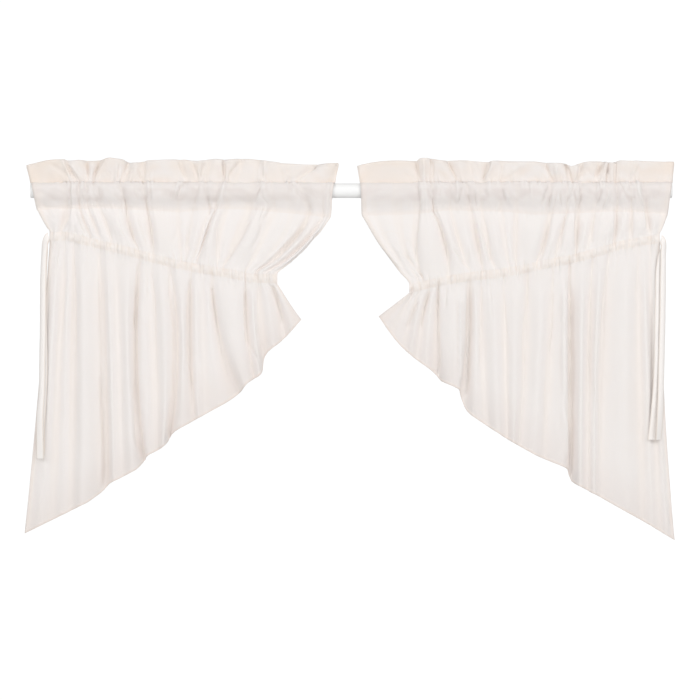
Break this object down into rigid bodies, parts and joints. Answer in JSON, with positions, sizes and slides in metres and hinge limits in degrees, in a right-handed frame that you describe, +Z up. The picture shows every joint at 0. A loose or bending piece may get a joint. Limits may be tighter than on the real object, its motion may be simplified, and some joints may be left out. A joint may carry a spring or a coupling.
{
  "type": "swag and tail drape pair on a curtain pole",
  "caption": "Pair of gathered cotton swag and tail drapes with ruffled heading, drawstring channel and long tapering tail, hung together on a plain round pole.",
  "frame": {"origin": "on the pole's axis, at the middle of the pole's length", "axes": "+X along the pole, to the right as seen from the room; -Y towards the room; +Z up"},
  "size_m": [1.5624, 0.0574, 0.9192],
  "materials": {
    "left_cotton": "cream slub cotton, plain weave, matte",
    "right_cotton": "cream slub cotton, plain weave, matte",
    "drawstring_tape": "cream cotton tape, flat, matte",
    "painted_pole": "white satin paint"
  },
  "bodies": {
    "root": {"curtain_pole": "painted_pole", "left_swag": "left_cotton", "right_swag": "right_cotton", "left_tie_front": "drawstring_tape", "left_tie_back": "drawstring_tape", "right_tie_front": "drawstring_tape", "right_tie_back": "drawstring_tape"}
  },
  "joints": []
}
